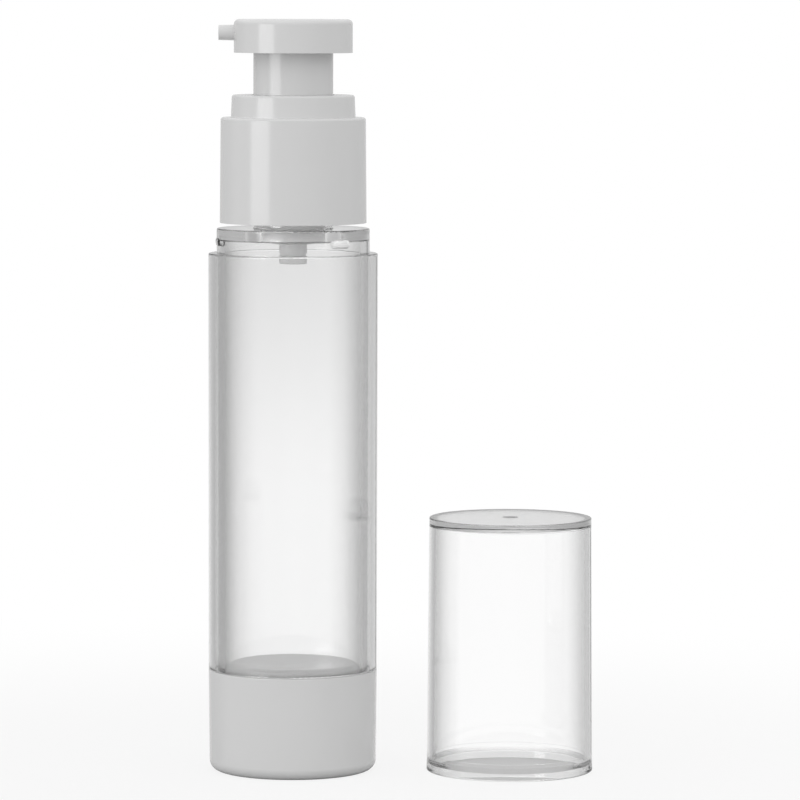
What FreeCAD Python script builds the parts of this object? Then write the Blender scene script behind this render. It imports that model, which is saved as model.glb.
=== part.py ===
"""Airless pump bottle with its overcap taken off and standing beside it.

A clear inner bottle holds the product over a follower piston. A clear sleeve and an opaque base cup
surround it, and a screw-on collar holds the dispensing pump in its neck. Millimetres, +Z up, origin at
the centre of the bottle's foot, spout towards -X, overcap standing towards +X.
"""
import FreeCAD
import Part

import math
import os

from FreeCAD import Vector

# Reservoir, sleeve and neck ring
RESERVOIR_DIAMETER = 27.4
BOTTLE_WALL = 1.4
AIR_GAP = 0.6
SLEEVE_WALL = 1.3
SLEEVE_LENGTH = 83.9
SLEEVE_LIP_HEIGHT = 0.5
SLEEVE_EDGE_RADIUS = 0.3
RING_STEP = 0.25
RING_HEIGHT = 5.0
RING_EDGE_RADIUS = 0.3
DECK_THICKNESS = 2.2
NECK_WALL = 1.4
NECK_HEIGHT = 10.0
THREAD_DEPTH = 0.95

# Snap beads round the neck ring, which hold the overcap
BEAD_COUNT = 3
BEAD_FIRST_ANGLE = 189.0
BEAD_LENGTH = 3.1
BEAD_HEIGHT = 1.7
BEAD_PROUD = 0.22
BEAD_RISE = 2.3

# Base cup
BASE_HEIGHT = 20.6
BASE_TAPER = 0.2
BASE_EDGE_RADIUS = 2.2
BASE_RIM_RADIUS = 0.3
BASE_FLOOR = 1.2
FOOT_RECESS = 0.8
FOOT_WIDTH = 3.4
FOOT_EDGE_RADIUS = 0.2
VENT_DIAMETER = 2.0
SPIGOT_RING_HEIGHT = 5.0
SPIGOT_RING_WALL = 1.2

# Follower piston
FOLLOWER_HEIGHT = 14.85
FOLLOWER_WALL = 1.0
FOLLOWER_WAIST = 0.65
FOLLOWER_LIP_HEIGHT = 2.0
FOLLOWER_LIP_TAPER = 1.4
FOLLOWER_EDGE_RADIUS = 1.4
FOLLOWER_RIM = 2.2
DISH_DEPTH = 1.0
DISH_FLOOR_DIAMETER = 6.8
DISH_RADIUS = 8.0

# Pump body, its gasket and its inlet valve
CHAMBER_BORE = 7.0
CHAMBER_WALL = 0.8
CHAMBER_DEPTH = 14.15
CHAMBER_FLOOR = 1.2
CHAMBER_EDGE_RADIUS = 0.5
GASKET_THICKNESS = 1.0
FLANGE_THICKNESS = 1.5
FLANGE_INSET = 0.1
BORE_SKIRT_GAP = 1.37
BORE_SKIRT_WALL = 0.8
BORE_SKIRT_LENGTH = 13.2
TURRET_STEP = 1.1
TURRET_WALL = 1.6
BALL_DIAMETER = 2.8
BALL_SIDE_GAP = 0.4
BALL_LIFT = 1.2
BALL_GUARD_COUNT = 3
BALL_GUARD_DIAMETER = 1.0
INLET_LENGTH = 4.0
INLET_WALL = 1.0
INLET_BORE = 1.8
INLET_LAND = 0.9
INLET_GROOVE_DEPTH = 0.25
INLET_GROOVE_WIDTH = 0.5
INLET_GROOVE_RISE = 1.6

# Stem, seal and what holds them
STROKE = 7.5
STROKE_MARGIN = 0.4
STEM_DIAMETER = 5.0
STEM_BORE = 2.8
STEM_TAIL_WALL = 0.6
STEM_PORT_DIAMETER = 0.9
STEM_PORT_RISE = 1.3
SHOULDER_STEP = 0.6
SHOULDER_HEIGHT = 1.0
PLUG_HEAD_HEIGHT = 1.6
PLUG_HEAD_GAP = 0.6
PLUG_HEAD_CONE = 0.7
PLUG_PIN_LENGTH = 0.7
SEAL_HEIGHT = 4.7
SEAL_LIFT = 0.8
SEAL_SLEEVE_WALL = 0.5
SEAL_LIP_WALL = 0.45
SEAL_WEB = 1.5
RETAINER_PLUG = 3.75
RETAINER_FLANGE = 1.2
SPRING_CUP_HEIGHT = 0.9
SPRING_CUP_WALL = 0.45

# Return spring
WIRE_DIAMETER = 0.8
SPRING_TURNS = 9
SPRING_END_PITCH = 1.3
SPRING_SIDE_GAP = 0.3

# Threaded closure and collar shell
THREAD_CLEARANCE = 0.15
CLOSURE_WALL = 1.4
CLOSURE_WEB = 1.5
CLOSURE_HOLE_GAP = 0.3
CLOSURE_RECESS = 0.5
COLLAR_LIFT = 1.1
COLLAR_INSET = 0.62
COLLAR_HEIGHT = 21.1
COLLAR_TAPER = 0.18
COLLAR_WALL = 1.3
COLLAR_LEDGE = 0.4
COLLAR_EDGE_RADIUS = 0.5
STEP_INSET = 2.05
STEP_HEIGHT = 4.5
STEP_TAPER = 0.2
GUIDE_WALL = 1.0
GUIDE_LENGTH = 4.0
GUIDE_GAP = 0.25

# Actuator
SKIRT_GAP = 0.8
SKIRT_WALL = 1.0
SKIRT_MARGIN = 0.4
HEAD_OVERHANG = 3.9
HEAD_HEIGHT = 6.7
HEAD_EDGE_RADIUS = 1.0
HEAD_WALL = 1.2
HEAD_TOP = 1.5
HEAD_CROWN = 4.7
PRESS_GAP = 0.9
BOSS_WALL = 1.1
BOSS_MARGIN = 0.8
SPOUT_DIAMETER = 3.0
SPOUT_ROOT_DIAMETER = 3.2
SPOUT_BORE = 1.8
SPOUT_DROP = 2.7
SPOUT_CLEARANCE = 0.15
DUCT_WALL = 0.9

# Overcap
CAP_CLEARANCE = 0.1
CAP_WALL = 1.3
CAP_TAPER = 0.4
CAP_TOP = 1.6
CAP_HEADROOM = 2.9
CAP_EDGE_RADIUS = 0.25
CAP_LEAD_IN = 0.4
CAP_RIDGE_HEIGHT = 1.5
CAP_GROOVE_DEPTH = 0.4
CAP_GROOVE_RAMP = 1.1
CAP_GROOVE_END = 3.3
CAP_GATE_DIAMETER = 3.2
CAP_GATE_DEPTH = 0.6
CAP_GATE_SLOPE = 0.35
CAP_SPACING = 10.1

# Clearances: between pieces that stay put, that slide on each other, and end to end at rest
FIT = 0.03
RUN = 0.05
SEAT = 0.05

UP = Vector(0, 0, 1)
QUARTERS_IN_TURN = 4
ORIGIN = Vector(0, 0, 0)

# Radii from the axis outwards
reservoir_r = RESERVOIR_DIAMETER / 2
bottle_r = reservoir_r + BOTTLE_WALL
ring_r = bottle_r + RING_STEP
sleeve_inner_r = bottle_r + AIR_GAP
sleeve_r = sleeve_inner_r + SLEEVE_WALL
chamber_r = CHAMBER_BORE / 2
chamber_outer_r = chamber_r + CHAMBER_WALL
bore_skirt_inner_r = chamber_outer_r + BORE_SKIRT_GAP
bore_skirt_r = bore_skirt_inner_r + BORE_SKIRT_WALL
neck_bore_r = bore_skirt_r + FIT
neck_r = neck_bore_r + NECK_WALL
flange_r = neck_r - FLANGE_INSET
turret_bore_r = chamber_r + TURRET_STEP
turret_r = turret_bore_r + TURRET_WALL
ball_r = BALL_DIAMETER / 2
ball_bore_r = ball_r + BALL_SIDE_GAP
inlet_r = INLET_BORE / 2
stem_r = STEM_DIAMETER / 2
stem_bore_r = STEM_BORE / 2
stem_tail_r = stem_bore_r + STEM_TAIL_WALL
closure_r = neck_r + THREAD_DEPTH + THREAD_CLEARANCE
skirt_inner_r = turret_r + SKIRT_GAP
skirt_r = skirt_inner_r + SKIRT_WALL
head_r = skirt_r + HEAD_OVERHANG
boss_r = stem_r + RUN + BOSS_WALL
collar_r = ring_r - COLLAR_INSET
shell_r = collar_r - COLLAR_TAPER - COLLAR_WALL
guide_r = skirt_r + GUIDE_GAP
step_r = collar_r - COLLAR_TAPER - STEP_INSET
spring_outer_r = turret_r - SPRING_CUP_WALL - SPRING_SIDE_GAP
cap_bore_r = ring_r + CAP_CLEARANCE
cap_r = cap_bore_r + CAP_WALL

# Heights from the foot upwards
base_floor_z = FOOT_RECESS + BASE_FLOOR
spigot_ring_z = base_floor_z + SPIGOT_RING_HEIGHT
sleeve_top_z = BASE_HEIGHT + SLEEVE_LENGTH
deck_top_z = sleeve_top_z + RING_HEIGHT
deck_bottom_z = deck_top_z - DECK_THICKNESS
neck_top_z = deck_top_z + NECK_HEIGHT
flange_z = neck_top_z + GASKET_THICKNESS
flange_top_z = flange_z + FLANGE_THICKNESS
chamber_foot_z = flange_z - CHAMBER_DEPTH
chamber_floor_z = chamber_foot_z + CHAMBER_FLOOR
inlet_z = chamber_foot_z - INLET_LENGTH
valve_seat_z = inlet_z + INLET_LAND
plug_z = chamber_floor_z + STROKE + STROKE_MARGIN
plug_top_z = plug_z + PLUG_HEAD_HEIGHT
seal_z = plug_top_z + SEAT
seal_top_z = seal_z + SEAL_HEIGHT
shoulder_z = seal_top_z + SEAL_LIFT + 2 * SEAT
shoulder_top_z = shoulder_z + SHOULDER_HEIGHT
retainer_z = shoulder_top_z + SEAT
turret_top_z = retainer_z + RETAINER_PLUG
retainer_top_z = turret_top_z + RETAINER_FLANGE
web_z = flange_top_z + SEAT
web_top_z = web_z + CLOSURE_WEB
collar_z = deck_top_z + COLLAR_LIFT
collar_step_z = collar_z + COLLAR_HEIGHT
collar_top_z = collar_step_z + STEP_HEIGHT
head_z = collar_top_z + STROKE + PRESS_GAP
head_top_z = head_z + HEAD_HEIGHT
cavity_top_z = head_top_z - HEAD_CROWN
spout_z = head_top_z - SPOUT_DROP
socket_top_z = spout_z - SPOUT_BORE / 2 - SEAT
skirt_z = web_top_z + STROKE + SKIRT_MARGIN
boss_z = retainer_top_z + STROKE + BOSS_MARGIN
cap_height = head_top_z + CAP_HEADROOM + CAP_TOP - sleeve_top_z
cap_x = sleeve_r + CAP_SPACING + cap_r
cap_slope = CAP_TAPER / cap_height
spout_reach = cap_bore_r - cap_slope * (spout_z - sleeve_top_z) - SPOUT_CLEARANCE


def outline(corners):
    """Closed face in the XZ plane through (radius, height) corners; a third value rounds that corner."""
    points = [Vector(corner[0], 0, corner[1]) for corner in corners]
    rounds = [corner[2] if len(corner) > 2 else 0 for corner in corners]
    starts, middles, ends = [], [], []
    for index, (point, radius) in enumerate(zip(points, rounds)):
        back = (points[index - 1] - point).normalize()
        ahead = (points[(index + 1) % len(points)] - point).normalize()
        half_angle = back.getAngle(ahead) / 2
        inward = (back + ahead).normalize() if radius else Vector()
        starts.append(point + back * (radius / math.tan(half_angle)))
        middles.append(point + inward * (radius / math.sin(half_angle) - radius))
        ends.append(point + ahead * (radius / math.tan(half_angle)))
    edges = []
    for index, radius in enumerate(rounds):
        if radius:
            edges.append(Part.Arc(starts[index], middles[index], ends[index]).toShape())
        following = starts[(index + 1) % len(points)]
        edges.append(Part.LineSegment(ends[index], following).toShape())
    return Part.Face(Part.Wire(edges))


def spin(corners):
    """Solid of revolution about the Z axis."""
    return outline(corners).revolve(ORIGIN, UP, 360)


def around(shape, count, first_angle=0.0):
    """Copies of a shape evenly spaced about the Z axis."""
    copies = []
    for index in range(count):
        copy = shape.copy()
        copy.rotate(ORIGIN, UP, first_angle + index * 360 / count)
        copies.append(copy)
    return copies


def base_cup():
    """Opaque cup under the bottle, with a raised foot, a vent and a spigot ring inside the bottle."""
    foot_r = sleeve_r - BASE_TAPER
    ring_outer_r = reservoir_r - FIT
    ring_inner_r = ring_outer_r - SPIGOT_RING_WALL
    vent_r = VENT_DIAMETER / 2
    return spin([
        (vent_r, FOOT_RECESS),
        (foot_r - FOOT_WIDTH, FOOT_RECESS, FOOT_EDGE_RADIUS),
        (foot_r - FOOT_WIDTH, 0, FOOT_EDGE_RADIUS),
        (foot_r, 0, BASE_EDGE_RADIUS),
        (sleeve_r, BASE_HEIGHT, BASE_RIM_RADIUS),
        (bottle_r + FIT, BASE_HEIGHT),
        (bottle_r + FIT, base_floor_z),
        (ring_outer_r, base_floor_z),
        (ring_outer_r, spigot_ring_z),
        (ring_inner_r, spigot_ring_z),
        (ring_inner_r, base_floor_z),
        (vent_r, base_floor_z),
    ])


def snap_bead():
    """One long bead with domed ends, its root let into the ring it stands on, centred on the +X side."""
    tube_r = ((BEAD_HEIGHT / 2) ** 2 + BEAD_PROUD ** 2) / (2 * BEAD_PROUD)
    middle = Vector(ring_r + BEAD_PROUD - tube_r, 0, sleeve_top_z + BEAD_RISE)
    root = Vector(ring_r - RING_STEP / 2, 0, middle.z)
    half_angle = math.acos((root.x - middle.x) / tube_r)

    def skin(angle):
        return middle + Vector(math.cos(angle), 0, math.sin(angle)) * tube_r

    def face(first, last):
        curve = Part.Arc(skin(first), skin((first + last) / 2), skin(last)).toShape()
        corners = [skin(last), skin(first)] if first < 0 else [skin(last), root, skin(first)]
        sides = [Part.LineSegment(*pair).toShape() for pair in zip(corners, corners[1:])]
        return Part.Face(Part.Wire([curve] + sides))

    arc = math.degrees(BEAD_LENGTH / ring_r)
    outwards = Vector(1, 0, 0)
    near_end = face(0, half_angle).revolve(root, outwards, 180)
    far_end = face(0, half_angle).revolve(root, outwards, -180)
    far_end.rotate(ORIGIN, UP, arc)
    bead = face(-half_angle, half_angle).revolve(ORIGIN, UP, arc).fuse([near_end, far_end])
    bead.rotate(ORIGIN, UP, -arc / 2)
    return bead


def inner_bottle():
    """Clear reservoir, open below, closed above by a thick deck with a neck for the screw closure."""
    shell = spin([
        (reservoir_r, base_floor_z),
        (bottle_r, base_floor_z),
        (bottle_r, sleeve_top_z),
        (ring_r, sleeve_top_z),
        (ring_r, deck_top_z, RING_EDGE_RADIUS),
        (neck_r, deck_top_z, RING_EDGE_RADIUS),
        (neck_r, neck_top_z, RING_EDGE_RADIUS),
        (neck_bore_r, neck_top_z),
        (neck_bore_r, deck_bottom_z),
        (reservoir_r, deck_bottom_z, RING_EDGE_RADIUS),
    ])
    return shell.fuse(around(snap_bead(), BEAD_COUNT, BEAD_FIRST_ANGLE)).removeSplitter()


def outer_sleeve():
    """Clear tube on the base's rim, trapped under the neck ring by an inward lip."""
    lip_z = sleeve_top_z - SLEEVE_LIP_HEIGHT
    return spin([
        (sleeve_inner_r, BASE_HEIGHT),
        (sleeve_r, BASE_HEIGHT, BASE_RIM_RADIUS),
        (sleeve_r, sleeve_top_z, SLEEVE_EDGE_RADIUS),
        (bottle_r + FIT, sleeve_top_z),
        (bottle_r + FIT, lip_z),
        (sleeve_inner_r, lip_z),
    ])


def follower_piston():
    """Round-edged, slightly dished piston, wiping at both ends, hollow, standing on the spigot ring."""
    bottom = spigot_ring_z + SEAT
    top = bottom + FOLLOWER_HEIGHT
    lip_r = reservoir_r - RUN
    waist_r = reservoir_r - FOLLOWER_WAIST
    hollow_r = waist_r - FOLLOWER_WALL
    rim_r = lip_r - FOLLOWER_RIM
    dish_r = DISH_FLOOR_DIAMETER / 2
    lip_end = FOLLOWER_LIP_HEIGHT + FOLLOWER_LIP_TAPER
    dish_z = top - DISH_DEPTH
    return spin([
        (0, dish_z - FOLLOWER_WALL),
        (dish_r, dish_z - FOLLOWER_WALL),
        (hollow_r, top - lip_end),
        (hollow_r, bottom),
        (lip_r, bottom),
        (lip_r, bottom + FOLLOWER_LIP_HEIGHT),
        (waist_r, bottom + lip_end),
        (waist_r, top - lip_end),
        (lip_r, top - FOLLOWER_LIP_HEIGHT),
        (lip_r, top, FOLLOWER_EDGE_RADIUS),
        (rim_r, top, DISH_RADIUS),
        (dish_r, dish_z, DISH_RADIUS),
        (0, dish_z),
    ])


def ball_centre_z():
    """Height at which the ball rests in the 45 degree seat, clear of it by the end gap."""
    seat_tip_z = valve_seat_z - inlet_r
    return seat_tip_z + (ball_r + SEAT / 2) * math.sqrt(2)


def pump_body():
    """Pump chamber: flange on the neck, skirt in its bore, turret for the retainer, ball seat, inlet."""
    inlet_outer_r = ball_bore_r + INLET_WALL
    groove_r = inlet_outer_r - INLET_GROOVE_DEPTH
    groove_z = inlet_z + INLET_GROOVE_RISE
    bore_skirt_z = flange_z - BORE_SKIRT_LENGTH
    seat_rim_z = valve_seat_z + ball_bore_r - inlet_r
    shell = spin([
        (inlet_r, inlet_z),
        (inlet_outer_r, inlet_z, INLET_GROOVE_DEPTH),
        (inlet_outer_r, groove_z),
        (groove_r, groove_z),
        (groove_r, groove_z + INLET_GROOVE_WIDTH),
        (inlet_outer_r, groove_z + INLET_GROOVE_WIDTH),
        (inlet_outer_r, chamber_foot_z),
        (chamber_outer_r, chamber_foot_z, CHAMBER_EDGE_RADIUS),
        (chamber_outer_r, flange_z),
        (bore_skirt_inner_r, flange_z),
        (bore_skirt_inner_r, bore_skirt_z),
        (bore_skirt_r, bore_skirt_z),
        (bore_skirt_r, flange_z),
        (flange_r, flange_z),
        (flange_r, flange_top_z),
        (turret_r, flange_top_z),
        (turret_r, turret_top_z),
        (turret_bore_r, turret_top_z),
        (turret_bore_r, retainer_z),
        (chamber_r, retainer_z),
        (chamber_r, chamber_floor_z),
        (ball_bore_r, chamber_floor_z),
        (ball_bore_r, seat_rim_z),
        (inlet_r, valve_seat_z),
    ])
    guard_r = BALL_GUARD_DIAMETER / 2
    reach = math.sqrt(ball_r ** 2 - (ball_bore_r - guard_r) ** 2)
    guard_z = ball_centre_z() + BALL_LIFT + reach + SEAT
    guard = Part.makeCylinder(guard_r, chamber_floor_z - guard_z, Vector(ball_bore_r, 0, guard_z))
    return shell.fuse(around(guard, BALL_GUARD_COUNT)).removeSplitter()


def inlet_ball():
    """Check ball of the inlet valve."""
    return Part.makeSphere(ball_r, Vector(0, 0, ball_centre_z()))


def neck_gasket():
    """Flat washer between the bottle's neck and the pump's flange."""
    return spin([
        (neck_bore_r, neck_top_z),
        (flange_r, neck_top_z),
        (flange_r, flange_z),
        (neck_bore_r, flange_z),
    ])


def stem():
    """Hollow stem: socket end above, stop shoulder, then a thin tail with two cross ports for the seal."""
    tube = spin([
        (stem_bore_r, plug_top_z),
        (stem_tail_r, plug_top_z),
        (stem_tail_r, shoulder_z),
        (stem_r + SHOULDER_STEP, shoulder_z),
        (stem_r + SHOULDER_STEP, shoulder_top_z),
        (stem_r, shoulder_top_z),
        (stem_r, socket_top_z - SEAT),
        (stem_bore_r, socket_top_z - SEAT),
    ])
    port_z = plug_top_z + STEM_PORT_RISE
    for across in (Vector(1, 0, 0), Vector(0, 1, 0)):
        start = Vector(0, 0, port_z) - across * stem_r
        tube = tube.cut(Part.makeCylinder(STEM_PORT_DIAMETER / 2, 2 * stem_r, start, across))
    return tube


def stem_plug():
    """Conical valve head pressed into the stem's tail; the seal rests on it and shuts the ports."""
    head_outer_r = chamber_r - PLUG_HEAD_GAP
    return spin([
        (0, plug_z),
        (head_outer_r - PLUG_HEAD_CONE, plug_z),
        (head_outer_r, plug_z + PLUG_HEAD_CONE),
        (head_outer_r, plug_top_z),
        (stem_bore_r - FIT, plug_top_z),
        (stem_bore_r - FIT, plug_top_z + PLUG_PIN_LENGTH),
        (0, plug_top_z + PLUG_PIN_LENGTH),
    ])


def pump_seal():
    """Sliding seal: a sleeve on the stem's tail joined by a web to a lip that wipes the chamber."""
    sleeve_in_r = stem_tail_r + RUN
    sleeve_out_r = sleeve_in_r + SEAL_SLEEVE_WALL
    lip_out_r = chamber_r - RUN
    lip_in_r = lip_out_r - SEAL_LIP_WALL
    web_bottom = seal_z + (SEAL_HEIGHT - SEAL_WEB) / 2
    web_top = web_bottom + SEAL_WEB
    return spin([
        (sleeve_in_r, seal_z),
        (sleeve_out_r, seal_z),
        (sleeve_out_r, web_bottom),
        (lip_in_r, web_bottom),
        (lip_in_r, seal_z),
        (lip_out_r, seal_z),
        (lip_out_r, seal_top_z),
        (lip_in_r, seal_top_z),
        (lip_in_r, web_top),
        (sleeve_out_r, web_top),
        (sleeve_out_r, seal_top_z),
        (sleeve_in_r, seal_top_z),
    ])


def stem_retainer():
    """Plug in the turret that guides and stops the stem, with a cup for the spring's foot."""
    cup_r = turret_r - SPRING_CUP_WALL
    return spin([
        (stem_r + RUN, retainer_z),
        (turret_bore_r - FIT, retainer_z),
        (turret_bore_r - FIT, turret_top_z),
        (turret_r, turret_top_z),
        (turret_r, retainer_top_z + SPRING_CUP_HEIGHT),
        (cup_r, retainer_top_z + SPRING_CUP_HEIGHT),
        (cup_r, retainer_top_z),
        (stem_r + RUN, retainer_top_z),
    ])


def biarc(start, start_way, end, end_way):
    """Two arcs, tangent to each other, that leave start and reach end along the given unit vectors."""
    chord = end - start
    bend = 1 - start_way.dot(end_way)
    along = chord.dot(start_way + end_way)
    reach = (math.sqrt(along ** 2 + 2 * bend * chord.dot(chord)) - along) / (2 * bend)
    knees = (start + start_way * reach, end - end_way * reach)
    joint = (knees[0] + knees[1]) / 2
    arcs = []
    for first, knee, last in ((start, knees[0], joint), (joint, knees[1], end)):
        middle = (first + last) / 2
        cosine = (last - first).Length / 2 / reach
        crown = middle + (knee - middle) * (cosine / (1 + cosine))
        arcs.append(Part.Arc(first, crown, last).toShape())
    return arcs


def return_spring():
    """Compression spring between the retainer's cup and the actuator, with close end turns."""
    coil_r = spring_outer_r - WIRE_DIAMETER / 2
    low = retainer_top_z + WIRE_DIAMETER / 2 + SEAT
    high = cavity_top_z - WIRE_DIAMETER / 2 - SEAT
    mid_pitch = (high - low - 2 * SPRING_END_PITCH) / (SPRING_TURNS - 2)

    def height(turn):
        inner = min(max(turn - 1, 0), SPRING_TURNS - 2)
        return low + SPRING_END_PITCH * (turn - inner) + mid_pitch * inner

    def point(turn):
        angle = 2 * math.pi * turn
        return Vector(coil_r * math.cos(angle), coil_r * math.sin(angle), height(turn))

    def direction(turn):
        angle = 2 * math.pi * turn
        nudge = 1 / QUARTERS_IN_TURN
        rise = (height(turn + nudge) - height(turn - nudge)) / (4 * math.pi * nudge)
        return Vector(-coil_r * math.sin(angle), coil_r * math.cos(angle), rise).normalize()

    quarters = [index / QUARTERS_IN_TURN for index in range(QUARTERS_IN_TURN * SPRING_TURNS + 1)]
    path = []
    for first, last in zip(quarters, quarters[1:]):
        path += biarc(point(first), direction(first), point(last), direction(last))
    ring = Part.Wire(Part.makeCircle(WIRE_DIAMETER / 2, point(0), direction(0)))
    wire = Part.Wire(path).makePipeShell([ring], True, False)
    gaps = [height(turn + 1) - height(turn) - WIRE_DIAMETER for turn in quarters if turn <= SPRING_TURNS - 1]
    print(f"return_spring: least gap between turns {min(gaps):.2f} mm")
    return wire


def threaded_closure():
    """Inner closure that screws on the neck; its web clamps the pump's flange and carries the shell."""
    skirt_bottom = collar_z + CLOSURE_RECESS
    return spin([
        (closure_r, skirt_bottom),
        (closure_r + CLOSURE_WALL, skirt_bottom),
        (closure_r + CLOSURE_WALL, web_z),
        (shell_r - FIT, web_z),
        (shell_r - FIT, web_top_z),
        (turret_r + CLOSURE_HOLE_GAP, web_top_z),
        (turret_r + CLOSURE_HOLE_GAP, web_z),
        (closure_r, web_z),
    ])


def collar_shell():
    """Stepped opaque shell over the closure, with a guide hole for the actuator's skirt."""
    upper_r = shell_r - COLLAR_LEDGE
    step_top_r = step_r - STEP_TAPER
    step_inner_r = step_top_r - COLLAR_WALL
    guide_outer_r = guide_r + GUIDE_WALL
    return spin([
        (shell_r, collar_z),
        (collar_r, collar_z),
        (collar_r - COLLAR_TAPER, collar_step_z, COLLAR_EDGE_RADIUS),
        (step_r, collar_step_z),
        (step_top_r, collar_top_z, COLLAR_EDGE_RADIUS),
        (guide_r, collar_top_z),
        (guide_r, collar_top_z - GUIDE_LENGTH),
        (guide_outer_r, collar_top_z - GUIDE_LENGTH),
        (guide_outer_r, collar_top_z - COLLAR_WALL),
        (step_inner_r, collar_top_z - COLLAR_WALL),
        (step_inner_r, collar_step_z - COLLAR_WALL),
        (upper_r, collar_step_z - COLLAR_WALL),
        (upper_r, web_top_z + FIT),
        (shell_r, web_top_z + FIT),
    ])


def actuator():
    """Press-down head with its spout, telescoping skirt, stem socket and hollow underside."""
    body = spin([
        (skirt_inner_r, skirt_z),
        (skirt_r, skirt_z),
        (skirt_r, head_z),
        (head_r, head_z),
        (head_r, head_top_z, HEAD_EDGE_RADIUS),
        (0, head_top_z),
        (0, cavity_top_z),
        (skirt_inner_r, cavity_top_z),
    ])
    pocket = spin([
        (skirt_r + SKIRT_WALL, head_z),
        (head_r - HEAD_WALL, head_z),
        (head_r - HEAD_WALL, head_top_z - HEAD_TOP),
        (skirt_r + SKIRT_WALL, head_top_z - HEAD_TOP),
    ])
    outwards = Vector(-1, 0, 0)
    mid_spout = Vector(0, 0, spout_z)
    boss = Part.makeCylinder(boss_r, cavity_top_z - boss_z, Vector(0, 0, boss_z))
    duct = Part.makeCylinder(SPOUT_BORE / 2 + DUCT_WALL, head_r - HEAD_WALL / 2, mid_spout, outwards)
    root = head_r - HEAD_WALL
    spout = Part.makeCone(SPOUT_ROOT_DIAMETER / 2, SPOUT_DIAMETER / 2, spout_reach - root,
                          mid_spout + outwards * root, outwards)
    socket = Part.makeCylinder(stem_r + RUN, socket_top_z - boss_z, Vector(0, 0, boss_z))
    riser_top_z = spout_z + SPOUT_BORE / 2
    riser = Part.makeCylinder(stem_bore_r, riser_top_z - socket_top_z, Vector(0, 0, socket_top_z))
    channel = Part.makeCylinder(SPOUT_BORE / 2, spout_reach, mid_spout, outwards)
    solid = body.cut(pocket).fuse([boss, duct, spout])
    return solid.cut([socket, riser, channel]).removeSplitter()


def overcap():
    """Clear cap with drafted walls, a flared mouth, a snap groove over a ridge and a gate mark on top."""
    bore_top_r = cap_bore_r - cap_slope * (cap_height - CAP_TOP)
    groove_r = cap_bore_r + CAP_GROOVE_DEPTH
    gate_r = CAP_GATE_DIAMETER / 2
    cap = spin([
        (cap_bore_r + CAP_LEAD_IN, 0, CAP_EDGE_RADIUS),
        (cap_r, 0, CAP_EDGE_RADIUS),
        (cap_r - CAP_TAPER, cap_height, CAP_EDGE_RADIUS),
        (gate_r, cap_height),
        (gate_r - CAP_GATE_SLOPE, cap_height - CAP_GATE_DEPTH),
        (0, cap_height - CAP_GATE_DEPTH),
        (0, cap_height - CAP_TOP),
        (bore_top_r, cap_height - CAP_TOP, CAP_EDGE_RADIUS),
        (cap_bore_r - cap_slope * CAP_GROOVE_END, CAP_GROOVE_END),
        (groove_r, CAP_GROOVE_END),
        (groove_r, CAP_RIDGE_HEIGHT + CAP_GROOVE_RAMP),
        (cap_bore_r, CAP_RIDGE_HEIGHT, CAP_EDGE_RADIUS),
    ])
    cap.translate(Vector(cap_x, 0, 0))
    return cap


NODES = (
    base_cup,
    inner_bottle,
    outer_sleeve,
    follower_piston,
    pump_body,
    inlet_ball,
    neck_gasket,
    stem,
    stem_plug,
    pump_seal,
    stem_retainer,
    return_spring,
    threaded_closure,
    collar_shell,
    actuator,
    overcap,
)


def main():
    os.makedirs("parts", exist_ok=True)
    for make in NODES:
        shape = make()
        name = make.__name__
        assert shape.isValid(), name
        print(f"{name}: {len(shape.Solids)} solid, {shape.Volume:.1f} mm3")
        shape.exportStep(f"parts/{name}.step")


main()
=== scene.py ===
"""Airless pump bottle and its overcap, dressed for the photograph's view. Metres, +Z up, spout to -X."""
import math

import bpy
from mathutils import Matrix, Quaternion, Vector


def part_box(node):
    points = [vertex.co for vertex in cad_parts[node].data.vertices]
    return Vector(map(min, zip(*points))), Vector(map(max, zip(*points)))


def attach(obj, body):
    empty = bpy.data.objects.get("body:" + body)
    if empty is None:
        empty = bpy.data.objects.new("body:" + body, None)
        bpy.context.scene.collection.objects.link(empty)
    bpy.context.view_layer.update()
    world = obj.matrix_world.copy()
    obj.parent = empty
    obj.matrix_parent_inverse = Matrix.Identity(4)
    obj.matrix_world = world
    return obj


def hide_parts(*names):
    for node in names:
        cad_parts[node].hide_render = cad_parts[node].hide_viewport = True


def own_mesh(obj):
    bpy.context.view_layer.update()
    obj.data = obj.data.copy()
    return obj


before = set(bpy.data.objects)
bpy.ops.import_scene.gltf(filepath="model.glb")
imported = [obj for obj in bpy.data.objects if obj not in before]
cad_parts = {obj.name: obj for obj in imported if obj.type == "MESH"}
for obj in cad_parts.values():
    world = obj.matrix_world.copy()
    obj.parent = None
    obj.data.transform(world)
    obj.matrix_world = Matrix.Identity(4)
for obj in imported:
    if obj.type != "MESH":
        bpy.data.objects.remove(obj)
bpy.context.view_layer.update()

MM = 0.001
TURN = 2 * math.pi

# Camera, with its near and far limits of sight at this ratio to its distance
SENSOR_WIDTH = 36.0
FRAME_WIDTH = 161.0 * MM
CAMERA_AIM = Vector((21.53 * MM, 0.0, 74.93 * MM))
CAMERA_AWAY = 1004.3 * MM
CAMERA_PITCH = math.radians(4.63)
CAMERA_ROLL = math.radians(0.15)
CLIP_RATIO = 100

# Light paths, deep enough for clear walls behind one another; under half a bounce there was none
GLASS_BOUNCES = 32
GLOSS_BOUNCES = 12
HALF_A_BOUNCE = 0.5

# Return spring, wound from the retainer's cup up to the actuator
WIRE_RADIUS = 0.4 * MM
WIRE_SIDES = 14
SPRING_TURNS = 9
SPRING_END_PITCH = 1.3 * MM
SPRING_STEPS_PER_TURN = 40

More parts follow.
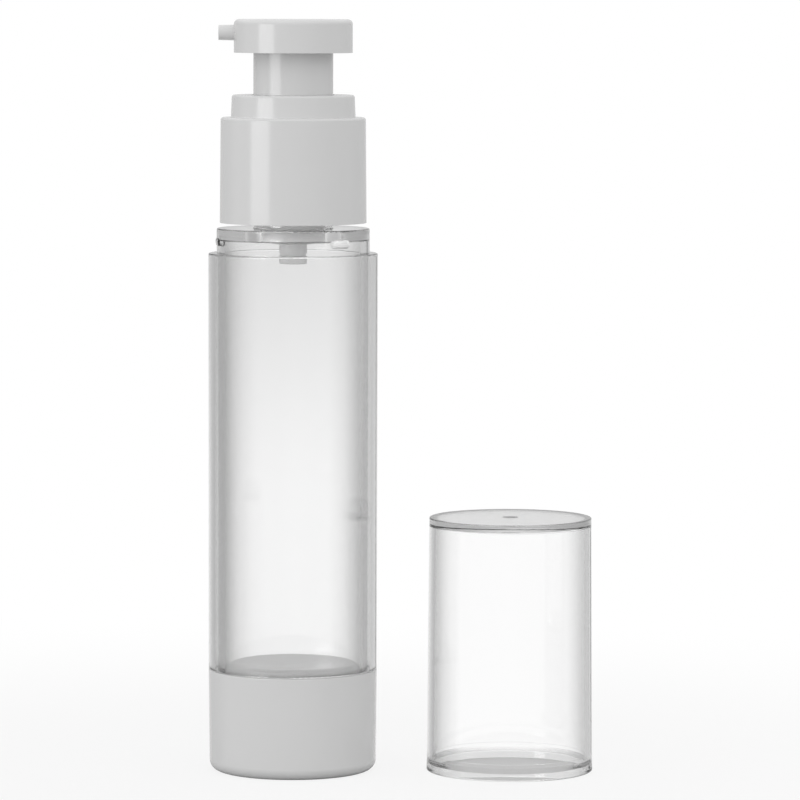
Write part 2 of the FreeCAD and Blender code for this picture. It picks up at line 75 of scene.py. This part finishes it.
# Screw threads between the neck and the closure, one lead for each turn of the closure
THREAD_LEAD = 3.18 * MM
THREAD_STEPS_PER_TURN = 48
THREAD_ROOT_WIDTH = 1.3 * MM
THREAD_CREST_WIDTH = 0.7 * MM
THREAD_DEPTH = 0.85 * MM
THREAD_SINK = 0.02 * MM
THREAD_RUN_OUT = 0.12
NECK_RADIUS = 7.9 * MM
NECK_THREAD_START = 111.3 * MM
NECK_THREAD_TURNS = 2.25
CLOSURE_BORE = 9.0 * MM
CLOSURE_THREAD_SKIP = 0.25
CLOSURE_THREAD_TURNS = 1.25

# Edges of the swept pieces that are sharper than this stay sharp
SHARP_ANGLE = math.radians(50)

# Noise in the materials: its scales are per metre
NOISE_DETAIL = 3.0
GRAIN_DETAIL = 2.0
WAVE_DETAIL = 1.0

# Opaque plastic
OPAQUE_IOR = 1.49
MOTTLE_SCALE = 60.0
POLISH_SCALE = 240.0

# Clear plastic, which greys with its depth; towards its edges, from a slope of the view on and sooner on
# the bottle, its colour greys with painted shade
CLEAR_IOR = 1.50
CLEAR_LEVEL = 0.995
BOTTLE_EDGE_SHADE = 0.67
BOTTLE_EDGE_SHADE_START = 0.13
CAP_EDGE_SHADE = 0.63
CAP_EDGE_SHADE_START = 0.25
CLEAR_POLISH_SCALE = 90.0
CLEAR_ROUGHNESS = 0.03
WAVE_SCALE = 70.0
WAVE_DEPTH = 0.004 * MM
DEPTH_GREY = 0.70
DEPTH_DENSITY = 45.0

# Drawn steel
STEEL_DARK = (0.50, 0.50, 0.51, 1.0)
STEEL_LIGHT = (0.62, 0.62, 0.63, 1.0)
STEEL_MOTTLE_SCALE = 900.0
STEEL_POLISH_SCALE = 1500.0
STEEL_SMOOTH = 0.18
STEEL_ROUGH = 0.34
STREAK_SCALE = 4000.0
STREAK_DEPTH = 0.004 * MM

# Gate mark in the middle of the cap's top, frosted, with a grey of painted shade in its dimple
GATE_RADIUS = 1.62 * MM
GATE_EDGE = 0.04 * MM
GATE_SHADE_GREY = 0.20
GATE_ROUGHNESS = 0.35

# Floor: partly white to the camera near the object, wholly white further off
FLOOR_HALF = 12.0
FLOOR_ALBEDO = 0.48
FLOOR_ROUGHNESS = 0.9
WHITE_SHARE = 0.85
WHITE_NEAR = 0.05
WHITE_FAR = 0.25

# Gloss and glass see the studio through the floor from this far off the bottle's and the cap's axes
STUDIO_NEAR = 17.0 * MM
STUDIO_FAR = 24.0 * MM

# Studio seen by gloss and glass: where it changes, as a share of the half turn from the backdrop
BACKDROP_EDGE = 0.0
SIDE_START = 0.20
SIDE_END = 0.33
FRONT_START = 0.47

# Its levels: the backdrop dims between two slopes of the view, and the sides are lighter on the right
BACKDROP_LEVEL = 1.03
BACKDROP_DIM = 0.76
DIM_START = -0.105
DIM_END = -0.040
SIDE_LEVEL = 0.60
SIDE_RIGHT = 0.09
FRONT_LEVEL = 0.95
TOP_LEVEL = 1.1
TOP_START = 0.25
TOP_END = 0.55

# Even light on the object, a little stronger from the right and from the front
SKY_LEVEL = 1.22
SKY_RIGHT = 0.03
SKY_FRONT = 0.20

# Softbox to the left of the camera
STRIP_AWAY = 1.0
STRIP_BEARING = math.radians(52.5)
STRIP_FOOT = 0.062
STRIP_WIDTH = 0.58
STRIP_LENGTH = 0.22
STRIP_LEVEL = 4.0


def grey(level):
    """An even grey, as a colour."""
    return (level, level, level, 1.0)


def top_middle(node):
    """Middle of the top of a CAD node's box."""
    low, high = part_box(node)
    return Vector(((low.x + high.x) / 2, (low.y + high.y) / 2, high.z))


# Shader nodes

def node_tree(name):
    """A new material with its Principled shader and output."""
    material = bpy.data.materials.new(name)
    material.use_nodes = True
    tree = material.node_tree
    return material, tree, tree.nodes["Principled BSDF"]


def feed(tree, socket, value):
    """Gives a socket its value, or a link where the value is another socket."""
    if isinstance(value, bpy.types.NodeSocket):
        tree.links.new(value, socket)
    else:
        socket.default_value = value


def maths(tree, operation, *values):
    """A Math node; each value is a number or a socket."""
    node = tree.nodes.new("ShaderNodeMath")
    node.operation = operation
    for socket, value in zip(node.inputs, values):
        feed(tree, socket, value)
    return node.outputs[0]


def measure(tree, operation, *vectors):
    """A length or a distance; each vector is a point or a socket."""
    node = tree.nodes.new("ShaderNodeVectorMath")
    node.operation = operation
    for socket, vector in zip(node.inputs, vectors):
        feed(tree, socket, vector)
    return node.outputs["Value"]


def carry(tree, value, start=0.0, end=1.0, low=0.0, high=1.0, kind="LINEAR"):
    """Carries a value from one range to another, held at both ends."""
    node = tree.nodes.new("ShaderNodeMapRange")
    node.interpolation_type = kind
    settings = {"Value": value, "From Min": start, "From Max": end, "To Min": low, "To Max": high}
    for name, setting in settings.items():
        feed(tree, node.inputs[name], setting)
    return node.outputs["Result"]


def fade(tree, value, near, far):
    """Zero below near, one above far, smooth between."""
    return carry(tree, value, near, far, kind="SMOOTHSTEP")


def blend(tree, share, first, second, kind="FLOAT"):
    """A share of the second number or colour in place of the first."""
    mix = tree.nodes.new("ShaderNodeMix")
    mix.data_type = kind
    for name, value in {"Factor": share, "A": first, "B": second}.items():
        feed(tree, mix.inputs[name], value)
    return mix.outputs["Result"]


def mix_shaders(tree, share, first, second):
    """A share of the second shader in place of the first."""
    mix = tree.nodes.new("ShaderNodeMixShader")
    for socket, value in zip(mix.inputs, (share, first, second)):
        tree.links.new(value, socket)
    return mix.outputs["Shader"]


def own_place(tree):
    """The object's own coordinates, in metres."""
    return tree.nodes.new("ShaderNodeTexCoord").outputs["Object"]


def noise(tree, scale, detail=NOISE_DETAIL):
    """Noise in the object's own coordinates."""
    texture = tree.nodes.new("ShaderNodeTexNoise")
    texture.inputs["Scale"].default_value = scale
    texture.inputs["Detail"].default_value = detail
    tree.links.new(own_place(tree), texture.inputs["Vector"])
    return texture.outputs["Fac"]


def bump(tree, value, depth, shader):
    """Relief of a given depth from a noise value."""
    relief = tree.nodes.new("ShaderNodeBump")
    relief.inputs["Strength"].default_value = 1.0
    relief.inputs["Distance"].default_value = depth
    tree.links.new(value, relief.inputs["Height"])
    tree.links.new(relief.outputs["Normal"], shader.inputs["Normal"])


def tone(tree, value, first, second, shader):
    """Base colour between two colours, by a value."""
    tree.links.new(blend(tree, value, first, second, "RGBA"), shader.inputs["Base Color"])


def polish(tree, scale, smooth, rough, shader):
    """Roughness that varies between two values."""
    tree.links.new(carry(tree, noise(tree, scale), low=smooth, high=rough), shader.inputs["Roughness"])


# Materials

def opaque_plastic(name, dark, light, smooth, rough, grain, depth):
    """Moulded plastic: faint mottling, uneven polish and a fine skin texture."""
    material, tree, shader = node_tree(name)
    shader.inputs["IOR"].default_value = OPAQUE_IOR
    tone(tree, noise(tree, MOTTLE_SCALE), grey(dark), grey(light), shader)
    polish(tree, POLISH_SCALE, smooth, rough, shader)
    bump(tree, noise(tree, grain, GRAIN_DETAIL), depth, shader)
    return material


def clear_plastic(name, shade_start, edge_shade):
    """Clear polished plastic with a faint wave in its surface, greying with its depth, and painted shade
    greying its colour towards its edges.
    """
    material, tree, shader = node_tree(name)
    facing = tree.nodes.new("ShaderNodeLayerWeight").outputs["Facing"]
    # Painted shade: the colour greys towards the edge level where the surface turns away from the view
    tone(tree, carry(tree, facing, start=shade_start), grey(CLEAR_LEVEL), grey(edge_shade), shader)
    shader.inputs["Transmission Weight"].default_value = 1.0
    shader.inputs["IOR"].default_value = CLEAR_IOR
    polish(tree, CLEAR_POLISH_SCALE, 0.0, CLEAR_ROUGHNESS, shader)
    bump(tree, noise(tree, WAVE_SCALE, WAVE_DETAIL), WAVE_DEPTH, shader)
    depth = tree.nodes.new("ShaderNodeVolumeAbsorption")
    depth.inputs["Color"].default_value = grey(DEPTH_GREY)
    depth.inputs["Density"].default_value = DEPTH_DENSITY
    tree.links.new(depth.outputs["Volume"], tree.nodes["Material Output"].inputs["Volume"])
    return material


def steel(name):
    """Bright drawn steel with fine streaks of polish."""
    material, tree, shader = node_tree(name)
    shader.inputs["Metallic"].default_value = 1.0
    tone(tree, noise(tree, STEEL_MOTTLE_SCALE), STEEL_DARK, STEEL_LIGHT, shader)
    polish(tree, STEEL_POLISH_SCALE, STEEL_SMOOTH, STEEL_ROUGH, shader)
    bump(tree, noise(tree, STREAK_SCALE), STREAK_DEPTH, shader)
    return material


WHITE = opaque_plastic("white_moulded", dark=0.530, light=0.550, smooth=0.15, rough=0.21,
                       grain=2600.0, depth=0.002 * MM)
NATURAL = opaque_plastic("natural_moulded", dark=0.61, light=0.65, smooth=0.32, rough=0.42,
                         grain=1800.0, depth=0.006 * MM)
SOFT = opaque_plastic("soft_moulded", dark=0.37, light=0.41, smooth=0.26, rough=0.34,
                      grain=1500.0, depth=0.006 * MM)
RUBBER = opaque_plastic("gasket_foam", dark=0.44, light=0.52, smooth=0.70, rough=0.85,
                        grain=3000.0, depth=0.02 * MM)
CLEAR = clear_plastic("clear_moulded", BOTTLE_EDGE_SHADE_START, BOTTLE_EDGE_SHADE)
CLEAR_CAP = clear_plastic("clear_cap", CAP_EDGE_SHADE_START, CAP_EDGE_SHADE)
STEEL = steel("drawn_steel")

MATERIALS = {
    "base_cup": WHITE,
    "collar_shell": WHITE,
    "actuator": WHITE,
    "outer_sleeve": CLEAR,
    "inner_bottle": CLEAR,
    "overcap": CLEAR_CAP,
    "follower_piston": SOFT,
    "pump_seal": SOFT,
    "pump_body": NATURAL,
    "stem_retainer": NATURAL,
    "stem": NATURAL,
    "stem_plug": NATURAL,
    "threaded_closure": NATURAL,
    "neck_gasket": RUBBER,
    "inlet_ball": STEEL,
}
for node, material in MATERIALS.items():
    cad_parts[node].material_slots[0].material = material


def gate_mark():
    """Frosted spot in the dimple on the cap's top, where the moulding was cut off, greyed with painted
    shade.
    """
    tree = CLEAR_CAP.node_tree
    shader = tree.nodes["Principled BSDF"]
    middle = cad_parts["overcap"].matrix_world.inverted() @ top_middle("overcap")
    away = measure(tree, "DISTANCE", own_place(tree), middle)
    spot = carry(tree, away, start=GATE_RADIUS + GATE_EDGE, end=GATE_RADIUS)
    clear = shader.inputs["Base Color"].links[0].from_socket
    # Painted shade: the clear colour turns grey inside the dimple
    tone(tree, spot, clear, grey(GATE_SHADE_GREY), shader)
    smooth = shader.inputs["Roughness"].links[0].from_socket
    tree.links.new(blend(tree, spot, smooth, GATE_ROUGHNESS), shader.inputs["Roughness"])


gate_mark()


# Spring and threads

def swept(name, sections):
    """A closed solid through sections with the same number of corners, capped at both ends."""
    sides = len(sections[0])
    vertices = [tuple(corner) for section in sections for corner in section]
    faces = []
    for ring in range(len(sections) - 1):
        low = ring * sides
        for index in range(sides):
            after = (index + 1) % sides
            faces.append((low + index, low + after, low + sides + after, low + sides + index))
    faces.append(tuple(reversed(range(sides))))
    last = (len(sections) - 1) * sides
    faces.append(tuple(range(last, last + sides)))
    mesh = bpy.data.meshes.new(name)
    mesh.from_pydata(vertices, [], faces)
    mesh.polygons.foreach_set("use_smooth", [True] * len(mesh.polygons))
    mesh.set_sharp_from_angle(angle=SHARP_ANGLE)
    piece = bpy.data.objects.new(name, mesh)
    bpy.context.scene.collection.objects.link(piece)
    return piece


def on_circle(radius, angle, height):
    """A point at a distance from the bottle's axis."""
    return Vector((radius * math.cos(angle), radius * math.sin(angle), height))


def wire_section(point, way):
    """Round section of the spring's wire, square to its direction."""
    side = Vector((0, 0, 1)).cross(way).normalized()
    up = way.cross(side)
    angles = [TURN * index / WIRE_SIDES for index in range(WIRE_SIDES)]
    return [point + WIRE_RADIUS * (side * math.cos(angle) + up * math.sin(angle)) for angle in angles]


def return_spring():
    """The wound spring, with closer turns at both ends, in place of the CAD spring."""
    low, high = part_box("return_spring")
    length = high.z - low.z
    coil = (high.x - low.x) / 2 - WIRE_RADIUS
    foot = low.z + WIRE_RADIUS
    climb = length - 2 * WIRE_RADIUS
    open_turns = SPRING_TURNS - 2
    open_pitch = (climb - 2 * SPRING_END_PITCH) / open_turns
    points = []
    for step in range(SPRING_TURNS * SPRING_STEPS_PER_TURN + 1):
        turn = step / SPRING_STEPS_PER_TURN
        opened = min(max(turn - 1, 0), open_turns)
        height = foot + SPRING_END_PITCH * (turn - opened) + open_pitch * opened
        points.append(on_circle(coil, TURN * turn, height))
    before = points[:1] + points[:-1]
    after = points[1:] + points[-1:]
    ways = [(end - start).normalized() for start, end in zip(before, after)]
    piece = swept("wound_spring", [wire_section(point, way) for point, way in zip(points, ways)])
    piece.data.materials.append(STEEL)
    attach(piece, "pump")
    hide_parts("return_spring")
    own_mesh(piece)


return_spring()


def thread(name, wall, depth, first_turn, turns, start):
    """Helical ridge on a round wall, outwards for a positive depth, running out at both ends."""
    root = wall - math.copysign(THREAD_SINK, depth)
    half_root = THREAD_ROOT_WIDTH / 2
    half_crest = THREAD_CREST_WIDTH / 2
    sections = []
    for step in range(round(turns * THREAD_STEPS_PER_TURN) + 1):
        turn = step / THREAD_STEPS_PER_TURN
        full = min(1.0, turn / THREAD_RUN_OUT, (turns - turn) / THREAD_RUN_OUT)
        crest = wall + depth * full
        angle = TURN * (first_turn + turn)
        height = start + THREAD_LEAD * (first_turn + turn)
        corners = [(root, -half_root), (crest, -half_crest), (crest, half_crest), (root, half_root)]
        if depth > 0:
            corners.reverse()
        sections.append([on_circle(radius, angle, height + rise) for radius, rise in corners])
    return swept(name, sections)


def neck_thread():
    """Thread on the outside of the bottle's neck."""
    piece = thread("neck_thread", NECK_RADIUS, THREAD_DEPTH, 0.0, NECK_THREAD_TURNS, NECK_THREAD_START)
    piece.data.materials.append(CLEAR)
    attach(piece, "bottle")


def closure_thread():
    """Thread inside the closure, half a lead above the neck's."""
    start = NECK_THREAD_START + THREAD_LEAD / 2
    piece = thread("closure_thread", CLOSURE_BORE, -THREAD_DEPTH, CLOSURE_THREAD_SKIP,
                   CLOSURE_THREAD_TURNS, start)
    piece.data.materials.append(NATURAL)
    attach(piece, "closure")


neck_thread()
closure_thread()


# Floor, light and camera

def studio(tree, axes):
    """Level of the studio: white backdrop behind, dark at the sides, lighter in front and above."""
    bearing = maths(tree, "ARCTAN2", maths(tree, "ABSOLUTE", axes["X"]), axes["Y"])
    share = maths(tree, "DIVIDE", bearing, math.pi)
    side = maths(tree, "MULTIPLY_ADD", axes["X"], SIDE_RIGHT, SIDE_LEVEL)
    backdrop = blend(tree, fade(tree, axes["Z"], DIM_START, DIM_END), BACKDROP_LEVEL, BACKDROP_DIM)
    level = blend(tree, fade(tree, share, BACKDROP_EDGE, SIDE_START), backdrop, side)
    level = blend(tree, fade(tree, share, SIDE_END, FRONT_START), level, FRONT_LEVEL)
    return blend(tree, fade(tree, axes["Z"], TOP_START, TOP_END), level, TOP_LEVEL)


def ray_kinds(tree):
    """One for rays that gloss or glass shows before any dull surface, and one for the camera's rays."""
    path = tree.nodes.new("ShaderNodeLightPath").outputs
    either = maths(tree, "MAXIMUM", path["Is Glossy Ray"], path["Is Transmission Ray"])
    shown = maths(tree, "LESS_THAN", path["Diffuse Depth"], HALF_A_BOUNCE)
    return maths(tree, "MULTIPLY", either, shown), path["Is Camera Ray"]


def floor_material():
    """Pale floor with the object's shadow, whiter to the camera, open to gloss and glass further off."""
    material, tree, shader = node_tree("pale_floor")
    shader.inputs["Base Color"].default_value = grey(FLOOR_ALBEDO)
    shader.inputs["Roughness"].default_value = FLOOR_ROUGHNESS
    shader.inputs["Specular IOR Level"].default_value = 0.0
    place = own_place(tree)
    cap = top_middle("overcap")
    from_bottle = measure(tree, "LENGTH", place)
    from_cap = measure(tree, "DISTANCE", place, (cap.x, cap.y, 0.0))
    nearest = maths(tree, "MINIMUM", from_bottle, from_cap)
    glass, seen = ray_kinds(tree)
    white = blend(tree, fade(tree, from_bottle, WHITE_NEAR, WHITE_FAR), WHITE_SHARE, 1.0)
    white_share = maths(tree, "MULTIPLY", seen, white)
    studio_share = maths(tree, "MULTIPLY", glass, fade(tree, nearest, STUDIO_NEAR, STUDIO_FAR))
    glow = tree.nodes.new("ShaderNodeEmission").outputs["Emission"]
    through = tree.nodes.new("ShaderNodeBsdfTransparent").outputs["BSDF"]
    lit = mix_shaders(tree, white_share, shader.outputs["BSDF"], glow)
    surface = mix_shaders(tree, studio_share, lit, through)
    tree.links.new(surface, tree.nodes["Material Output"].inputs["Surface"])
    return material


def floor():
    """Wide flat floor under the bottle and its cap."""
    corners = [(-FLOOR_HALF, -FLOOR_HALF, 0), (FLOOR_HALF, -FLOOR_HALF, 0),
               (FLOOR_HALF, FLOOR_HALF, 0), (-FLOOR_HALF, FLOOR_HALF, 0)]
    mesh = bpy.data.meshes.new("floor")
    mesh.from_pydata(corners, [], [(0, 1, 2, 3)])
    mesh.materials.append(floor_material())
    plane = bpy.data.objects.new("floor", mesh)
    bpy.context.scene.collection.objects.link(plane)


floor()


def sky():
    """Even light all round; gloss and glass see the studio, and the camera sees white."""
    world = bpy.data.worlds.new("studio")
    bpy.context.scene.world = world
    world.use_nodes = True
    tree = world.node_tree
    background = tree.nodes["Background"]
    background.inputs["Color"].default_value = grey(1.0)
    direction = tree.nodes.new("ShaderNodeSeparateXYZ")
    tree.links.new(tree.nodes.new("ShaderNodeTexCoord").outputs["Generated"], direction.inputs["Vector"])
    axes = direction.outputs
    even = maths(tree, "MULTIPLY_ADD", axes["X"], SKY_RIGHT, SKY_LEVEL)
    even = maths(tree, "MULTIPLY_ADD", axes["Y"], -SKY_FRONT, even)
    glass, seen = ray_kinds(tree)
    level = blend(tree, glass, even, studio(tree, axes))
    tree.links.new(blend(tree, seen, level, 1.0), background.inputs["Strength"])


sky()


def strip_light():
    """Upright softbox to the left of the camera, its foot above the floor."""
    lamp = bpy.data.lights.new("strip", "AREA")
    lamp.shape = "RECTANGLE"
    lamp.size = STRIP_WIDTH
    lamp.size_y = STRIP_LENGTH
    lamp.energy = STRIP_LEVEL * math.pi * STRIP_WIDTH * STRIP_LENGTH
    strip = bpy.data.objects.new("strip", lamp)
    bpy.context.scene.collection.objects.link(strip)
    side = Vector((-math.sin(STRIP_BEARING), -math.cos(STRIP_BEARING), 0))
    strip.location = side * STRIP_AWAY + Vector((0, 0, STRIP_FOOT + STRIP_LENGTH / 2))
    strip.rotation_euler = (-side).to_track_quat("-Z", "Y").to_euler()


strip_light()


def camera():
    """Long lens, a little above the bottle's middle, with no shift."""
    lens = bpy.data.cameras.new("camera")
    lens.sensor_width = SENSOR_WIDTH
    lens.lens = SENSOR_WIDTH * CAMERA_AWAY / FRAME_WIDTH
    lens.clip_start = CAMERA_AWAY / CLIP_RATIO
    lens.clip_end = CAMERA_AWAY * CLIP_RATIO
    eye = bpy.data.objects.new("camera", lens)
    bpy.context.scene.collection.objects.link(eye)
    back = Vector((0, -math.cos(CAMERA_PITCH), math.sin(CAMERA_PITCH)))
    eye.location = CAMERA_AIM + back * CAMERA_AWAY
    level = (-back).to_track_quat("-Z", "Y")
    eye.rotation_euler = (level @ Quaternion((0, 0, 1), CAMERA_ROLL)).to_euler()
    bpy.context.scene.camera = eye


camera()

scene = bpy.context.scene
scene.view_settings.view_transform = "Standard"
scene.cycles.max_bounces = GLASS_BOUNCES
scene.cycles.transmission_bounces = GLASS_BOUNCES
scene.cycles.glossy_bounces = GLOSS_BOUNCES
scene.cycles.blur_glossy = 0.0
